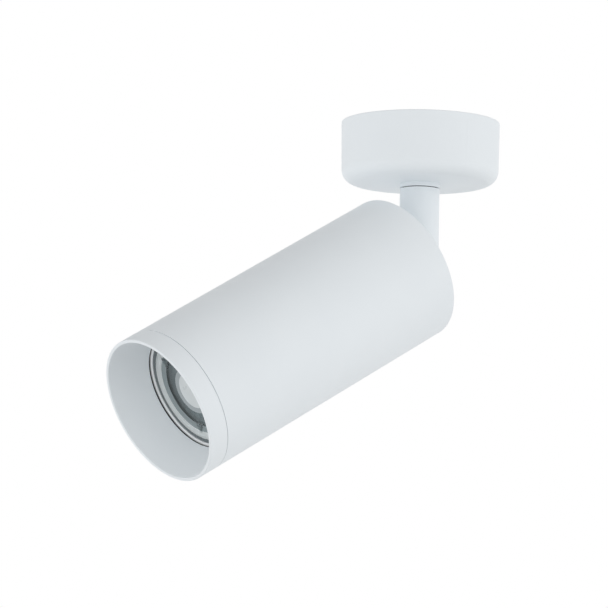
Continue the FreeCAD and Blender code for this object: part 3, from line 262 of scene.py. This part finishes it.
# The record's slots: two close shades, roughness, grain per metre and grain depth in metres.
FINISHES = {
    "white_coated_aluminium": ((0.815, 0.858, 0.888), (0.83, 0.872, 0.90), 0.55, 1400.0, 0.000012),
    "zinc_steel": ((0.55, 0.56, 0.57), (0.66, 0.67, 0.67), 0.36, 900.0, 0.000006),
    "screw_steel": ((0.50, 0.50, 0.50), (0.60, 0.60, 0.60), 0.30, 900.0, 0.000005),
    "brass": ((0.72, 0.52, 0.22), (0.80, 0.60, 0.30), 0.30, 900.0, 0.000005),
    "lamp_pin_metal": ((0.62, 0.60, 0.56), (0.70, 0.68, 0.64), 0.28, 900.0, 0.000004),
    "nylon": ((0.55, 0.55, 0.53), (0.62, 0.62, 0.60), 0.45, 700.0, 0.000006),
    "black_rubber": ((0.004, 0.004, 0.005), (0.008, 0.008, 0.009), 0.6, 900.0, 0.000010),
    "block_plastic": ((0.60, 0.60, 0.57), (0.66, 0.66, 0.63), 0.42, 600.0, 0.000006),
    "brown_insulation": ((0.10, 0.04, 0.02), (0.13, 0.055, 0.03), 0.4, 700.0, 0.000006),
    "blue_insulation": ((0.03, 0.10, 0.35), (0.04, 0.13, 0.42), 0.4, 700.0, 0.000006),
    "green_yellow_insulation": ((0.08, 0.30, 0.04), (0.75, 0.65, 0.05), 0.4, 700.0, 0.000006),
    "woven_sleeve": ((0.62, 0.60, 0.54), (0.74, 0.72, 0.66), 0.85, 2500.0, 0.00008),
    "holder_ceramic": ((0.72, 0.70, 0.65), (0.78, 0.76, 0.71), 0.5, 500.0, 0.000015),
    "lamp_plastic": ((0.96, 0.98, 0.99), (0.97, 0.99, 1.0), 0.15, 900.0, 0.000003),
    "lens_plastic": ((0.92, 0.94, 0.95), (0.94, 0.96, 0.97), 0.1, 900.0, 0.000002),
    "reflector_metal": ((0.24, 0.28, 0.29), (0.28, 0.32, 0.33), 0.42, 900.0, 0.000004),
    "board_green": ((0.02, 0.12, 0.05), (0.03, 0.16, 0.07), 0.4, 500.0, 0.00001),
    "board_white": ((0.75, 0.76, 0.75), (0.80, 0.81, 0.80), 0.4, 500.0, 0.00001),
    "phosphor": ((0.85, 0.65, 0.12), (0.90, 0.72, 0.18), 0.5, 900.0, 0.00001),
}
METALS = ("zinc_steel", "screw_steel", "brass", "lamp_pin_metal", "reflector_metal")
SPECULAR = {"black_rubber": 0.25, "lamp_plastic": 1.0}
MATERIALS = {slot: surface(slot, *finish, metallic=float(slot in METALS),
                           specular=SPECULAR.get(slot, PLAIN_SPECULAR))
             for slot, finish in FINISHES.items()}

for part in frame["record"]["subparts"]:
    finish_slots = nodes[part["node"]].data.materials
    finish_slots.clear()
    finish_slots.append(MATERIALS[part["material_slot"]])


def dress(piece, slot, material=None):
    """Give a piece the finish of one of the record's slots, or its own look instead."""
    piece.data.materials.append(material or MATERIALS[slot])


# ---------------------------------------------------------------- the body and its front ring

FINE_EDGE = 0.15 * MM
BODY_EDGE = 0.5 * MM
FLANGE_SET_BACK = 4.0 * MM
FLANGE_THICKNESS = 3.0 * MM
SEAM = 0.2 * MM
RIM_EDGE = 0.3 * MM
RIM_WIDTH = 1.3 * MM
CONE_DEPTH = 16.3 * MM
LIP_EDGE = 0.08 * MM
GASKET_EDGE = 0.1 * MM


def body_tube():
    """The plain tube, with the flange inside its rear end that the rear plate is screwed to."""
    rear, front = heights("body_tube")
    bore, outside = radii_at("body_tube", front)
    flange_rear = rear + FLANGE_SET_BACK
    flange_front = flange_rear + FLANGE_THICKNESS
    flange_bore = radii_at("body_tube", flange_front)[0]
    tube = lathe("round_body", "head", [
        (outside, rear, BODY_EDGE), (outside, front, FINE_EDGE), (bore, front, FINE_EDGE),
        (bore, flange_front, 0), (flange_bore, flange_front, FINE_EDGE),
        (flange_bore, flange_rear, FINE_EDGE), (bore, flange_rear, 0),
        (bore, rear, FINE_EDGE * 2)], ["body_tube"])
    dress(tube, "white_coated_aluminium")


def front_ring():
    """The ring with the thin rim, the cone behind it and the skirt that enters the tube."""
    skirt_rear, front = heights("front_ring")
    rear = heights("body_tube")[1] + SEAM
    cone_end, outside = radii("front_ring")
    skirt_inner, skirt = radii_at("front_ring", skirt_rear)
    lip_front = front - CONE_DEPTH
    lip_rear = heights("lamp_gasket")[1]
    ring = lathe("screwed_front_ring", "front_ring", [
        (outside, rear, FINE_EDGE), (outside, front, RIM_EDGE),
        (outside - RIM_WIDTH, front, RIM_EDGE), (cone_end, lip_front, LIP_EDGE),
        (cone_end, lip_rear, LIP_EDGE), (skirt_inner, lip_rear, 0),
        (skirt_inner, skirt_rear, FINE_EDGE), (skirt, skirt_rear, FINE_EDGE),
        (skirt, rear, 0)], ["front_ring"])
    dress(ring, "white_coated_aluminium")


def lamp_gasket():
    """The thin black ring between the cone and the lamp."""
    rear, front = heights("lamp_gasket")
    inside, outside = radii("lamp_gasket")
    ring = lathe("black_gasket", "front_ring", [
        (outside, rear, 0), (outside, front, 0), (inside, front, GASKET_EDGE),
        (inside, rear, GASKET_EDGE)], ["lamp_gasket"])
    dress(ring, "black_rubber")


# ---------------------------------------------------------------- the lamp's face

BEZEL_EDGE = 0.8 * MM
BEZEL_INNER_EDGE = 0.3 * MM
NEAR_LENS_EDGE = 0.1 * MM
PUCK = 9.0 * MM
PUCK_SLOPE = 0.6 * MM
PRINT = 0.06 * MM
CORE = 7.2 * MM
COLLAR = (7.3 * MM, 9.4 * MM)
INNER_BAND = (15.4 * MM, 18.1 * MM)
EDGE_BAND = (18.0 * MM, 21.25 * MM)
# Painted shade: a dark grey ring on the lens where the bezel's inner edge and the gap behind it shade the lens.
PAINTED_SHADE_RING = (21.3 * MM, 22.8 * MM)
BAND_RISE = 0.45 * MM
BAND_CREST = 0.6
BAND_OUTER_RISE = BAND_RISE * 0.6
PAINTED_SHADE_RING_INNER_RISE = BAND_RISE * 0.8
PAINTED_SHADE_RING_OUTER_RISE = BAND_RISE * 0.5
PAINTED_SHADE_RING_ROUND = 0.05 * MM
BAND_OUTER_ROUND = 0.1 * MM
BAND_CREST_ROUND = 0.2 * MM
TAB_COUNT = 3
TAB_FIRST_TURN = 128.0
TAB_ROOT = 14.6 * MM
TAB_SLOPE = 0.5 * MM
TAB_POINT_SLOPE = 2 * MM
TAB_HALF_WIDTH = 2.6 * MM
TAB_TOP_HALF_WIDTH = TAB_HALF_WIDTH * 0.7
TAB_RISE = 0.4 * MM
LENS_GRAIN = (900.0, 0.000002)


def lens_face():
    """The height of the lens's flat face: that of the CAD lens at its edge."""
    points = turned_points("lamp_lens")
    edge = max(radius for radius, height in points)
    return max(height for radius, height in points if radius > edge - NEAR_LENS_EDGE)


def lamp_bezel():
    """The white ring around the lens."""
    rear, front = heights("lamp_bezel")
    opening, outside = radii("lamp_bezel")
    inside = radii_at("lamp_bezel", rear)[0]
    seat = lens_face()
    ring = lathe("lamp_front_ring", "lamp", [
        (outside, rear, 0), (outside, front, BEZEL_EDGE), (opening, front, BEZEL_INNER_EDGE),
        (opening, seat, 0), (inside, seat, 0), (inside, rear, 0)], ["lamp_bezel"])
    dress(ring, "lamp_plastic")


def lens_middle(rear, top, front):
    """The clear disc with its raised middle, and the pale core and grey collar on that."""
    edge = radii("lamp_lens")[1]
    disc = lathe("lamp_lens_disc", "lamp", [
        (0, rear, 0), (edge, rear, 0), (edge, front, 0), (PUCK + PUCK_SLOPE, front, 0),
        (PUCK, top, FINE_EDGE), (0, top, 0)], ["lamp_lens"])
    dress(disc, "lens_plastic", clear_plastic("clear_lens", (0.87, 0.93, 0.94), 0.02))
    core = lathe("lens_white_core", "lamp", [
        (0, top, 0), (CORE, top, 0), (CORE, top + PRINT, 0), (0, top + PRINT, 0)])
    dress(core, "lens_plastic", surface("pale_lens_core", (0.62, 0.66, 0.67), (0.66, 0.70, 0.71),
                                        0.3, *LENS_GRAIN))
    inner, outer = COLLAR
    collar = lathe("lens_grey_collar", "lamp", [
        (inner, top - PRINT, 0), (outer, top - PRINT, 0), (outer - PRINT, top + PRINT / 2, 0),
        (inner, top + PRINT, 0)])
    dress(collar, "lens_plastic", surface("grey_lens_collar", (0.33, 0.37, 0.385),
                                          (0.37, 0.41, 0.425), 0.35, *LENS_GRAIN))


def lens_bands(front):
    """The dark grey ring of painted shade next to the bezel, the grey inner band and the frosted band, from the
    bezel inwards.
    """
    # Painted shade: the dark grey colour of this ring stands for the shade under the bezel's inner edge.
    inner, outer = PAINTED_SHADE_RING
    painted_shade_ring = lathe("lens_painted_shade_ring", "lamp", [
        (inner, front, 0), (outer, front, 0),
        (outer, front + PAINTED_SHADE_RING_OUTER_RISE, PAINTED_SHADE_RING_ROUND),
        (inner, front + PAINTED_SHADE_RING_INNER_RISE, PAINTED_SHADE_RING_ROUND)])
    dress(painted_shade_ring, "lens_plastic", surface("painted_shade_on_lens", (0.13, 0.155, 0.165),
                                             (0.16, 0.185, 0.195), 0.4, *LENS_GRAIN))
    inner, outer = INNER_BAND
    inner_band = lathe("lens_inner_band", "lamp", [
        (inner, front, 0), (outer, front, 0), (outer, front + PRINT * 2, 0),
        (inner + PRINT * 2, front + PRINT, 0)])
    dress(inner_band, "lens_plastic", surface("grey_lens_band", (0.20, 0.245, 0.255),
                                              (0.25, 0.295, 0.305), 0.35, *LENS_GRAIN))
    inner, outer = EDGE_BAND
    crest = inner + (outer - inner) * BAND_CREST
    edge_band = lathe("lens_edge_band", "lamp", [
        (inner, front, 0), (outer, front, 0), (outer, front + BAND_OUTER_RISE, BAND_OUTER_ROUND),
        (crest, front + BAND_RISE, BAND_CREST_ROUND)])
    dress(edge_band, "lens_plastic", clear_plastic("frosted_band", (0.90, 0.95, 0.955), 0.4,
                                                   transmission=0.4))


def pointed_tab(name, turn, low):
    """A three-sided wedge whose point faces outwards and whose back is its highest edge."""
    high = low + TAB_RISE
    reach = EDGE_BAND[0]
    corners = [(TAB_ROOT, -TAB_HALF_WIDTH, low), (reach + TAB_POINT_SLOPE, 0, low),
               (TAB_ROOT, TAB_HALF_WIDTH, low),
               (TAB_ROOT + TAB_SLOPE, -TAB_TOP_HALF_WIDTH, high), (reach, 0, high),
               (TAB_ROOT + TAB_SLOPE, TAB_TOP_HALF_WIDTH, high)]
    faces = [(2, 1, 0), (3, 4, 5), (0, 1, 4, 3), (1, 2, 5, 4), (2, 0, 3, 5)]
    data = bpy.data.meshes.new(name)
    data.from_pydata(corners, [], faces)
    data.transform(HEAD @ Matrix.Rotation(turn, 4, "Z"))
    return placed(name, data, "lamp")


def lens_tabs(front):
    """The clear pointed tabs, evenly spaced around the lens."""
    clear = clear_plastic("clear_tab", (0.86, 0.91, 0.92), 0.25)
    for number in range(TAB_COUNT):
        turn = math.radians(TAB_FIRST_TURN + 360.0 * number / TAB_COUNT)
        dress(pointed_tab("lens_tab_%d" % (number + 1), turn, front), "lens_plastic", clear)


def lamp_lens():
    """The lens and all that is on its face."""
    rear, top = heights("lamp_lens")
    front = lens_face()
    lens_middle(rear, top, front)
    lens_bands(front)
    lens_tabs(front)


body_tube()
front_ring()
lamp_bezel()
lamp_lens()
lamp_gasket()


# ---------------------------------------------------------------- floor, light and camera

WHITE = (1, 1, 1, 1)
FLOOR_COLOUR = (0.9, 0.9, 0.9, 1)
FLOOR_HEIGHT = -0.9
FLOOR_HALF_WIDTH = 0.8
OBJECT_MIDDLE = (0.0, -0.06, -0.08)
SKY_ROWS = ((0.839, 0.056, 0.216), (0.056, 1.067, 0.028), (0.216, 0.028, 0.604))
SKY_SLOPE = (0.02, -0.041, -0.328)
# Name, place, width in metres and power in watts.
SOFTBOXES = (("right_softbox", (1.3, 0.9, -0.1), 1.1, 2.42),
             ("front_softbox", (1.5, -1.6, -0.2), 1.2, 0.45))
CAMERA_PLACE = Vector((1.184525, -0.866516, -0.260105))
CAMERA_RIGHT = Vector((0.56677497, 0.8236628, 0.0185934))
CAMERA_UP = Vector((0.09290764, -0.08632293, 0.99192566))
CAMERA_BACK = Vector((0.81861731, -0.56047117, -0.12545024))
CAMERA_NEAR = 0.05
LENS = 217.81
SENSOR = 36.0


def plain_floor():
    """A pale floor below the object, out of the camera's sight in the main view."""
    half = FLOOR_HALF_WIDTH
    corners = [(x, y, FLOOR_HEIGHT)
               for x, y in ((-half, -half), (half, -half), (half, half), (-half, half))]
    mesh = bpy.data.meshes.new("floor")
    mesh.from_pydata(corners, [], [(0, 1, 2, 3)])
    floor = bpy.data.objects.new("floor", mesh)
    bpy.context.scene.collection.objects.link(floor)
    material, tree, shader = new_material("pale_floor")
    shader.inputs["Base Color"].default_value = FLOOR_COLOUR
    mesh.materials.append(material)


def area_light(name, place, width, power):
    """A square soft light that faces the object."""
    light = bpy.data.lights.new(name, "AREA")
    light.size = width
    light.energy = power
    lamp = bpy.data.objects.new(name, light)
    lamp.location = place
    facing = Vector(OBJECT_MIDDLE) - Vector(place)
    lamp.rotation_euler = facing.to_track_quat("-Z", "Y").to_euler()
    bpy.context.scene.collection.objects.link(lamp)


def studio_camera():
    """The photograph's camera, fitted to the outline of the object."""
    camera = bpy.data.cameras.new("camera")
    camera.lens = LENS
    camera.sensor_width = SENSOR
    camera.sensor_fit = "HORIZONTAL"
    camera.clip_start = CAMERA_NEAR
    placed_camera = bpy.data.objects.new("camera", camera)
    turn = Matrix((CAMERA_RIGHT, CAMERA_UP, CAMERA_BACK)).transposed().to_4x4()
    placed_camera.matrix_world = Matrix.Translation(CAMERA_PLACE) @ turn
    bpy.context.scene.collection.objects.link(placed_camera)
    bpy.context.scene.camera = placed_camera


def dot(tree, first, second):
    """The dot product of a direction with another one, or with a constant vector."""
    product = tree.nodes.new("ShaderNodeVectorMath")
    product.operation = "DOT_PRODUCT"
    tree.links.new(first, product.inputs[0])
    if isinstance(second, tuple):
        product.inputs[1].default_value = second
    else:
        tree.links.new(second, product.inputs[1])
    return product.outputs["Value"]


def combined(tree, operation, first, second):
    """Two values put together by one operation; the second may be a number."""
    result = tree.nodes.new("ShaderNodeMath")
    result.operation = operation
    tree.links.new(first, result.inputs[0])
    if isinstance(second, float):
        result.inputs[1].default_value = second
    else:
        tree.links.new(second, result.inputs[1])
    return result.outputs[0]


def sky_light(tree):
    """How bright the studio is in each direction v: v.(ROWS v) + v.SLOPE, a soft uneven glow."""
    direction = tree.nodes.new("ShaderNodeTexCoord").outputs["Generated"]
    bent = tree.nodes.new("ShaderNodeCombineXYZ")
    for number, row in enumerate(SKY_ROWS):
        tree.links.new(dot(tree, direction, row), bent.inputs[number])
    curve = dot(tree, direction, bent.outputs[0])
    total = combined(tree, "ADD", curve, dot(tree, direction, SKY_SLOPE))
    return combined(tree, "MAXIMUM", total, 0.0)


def studio_world():
    """White where the camera, a gloss or a clear piece sees it; the uneven glow on the object."""
    world = bpy.data.worlds.new("studio")
    bpy.context.scene.world = world
    world.use_nodes = True
    tree = world.node_tree
    lit = tree.nodes["Background"]
    lit.inputs["Color"].default_value = WHITE
    tree.links.new(sky_light(tree), lit.inputs["Strength"])
    seen = tree.nodes.new("ShaderNodeBackground")
    seen.inputs["Color"].default_value = WHITE
    seen.inputs["Strength"].default_value = 1.0
    rays = tree.nodes.new("ShaderNodeLightPath").outputs
    white = rays["Is Camera Ray"]
    for kind in ("Is Glossy Ray", "Is Transmission Ray"):
        white = combined(tree, "MAXIMUM", white, rays[kind])
    mixed = tree.nodes.new("ShaderNodeMixShader")
    tree.links.new(white, mixed.inputs["Fac"])
    tree.links.new(lit.outputs[0], mixed.inputs[1])
    tree.links.new(seen.outputs[0], mixed.inputs[2])
    tree.links.new(mixed.outputs[0], tree.nodes["World Output"].inputs["Surface"])


plain_floor()
studio_camera()
studio_world()
for name, place, width, power in SOFTBOXES:
    area_light(name, place, width, power)

bpy.context.scene.view_settings.view_transform = "Standard"
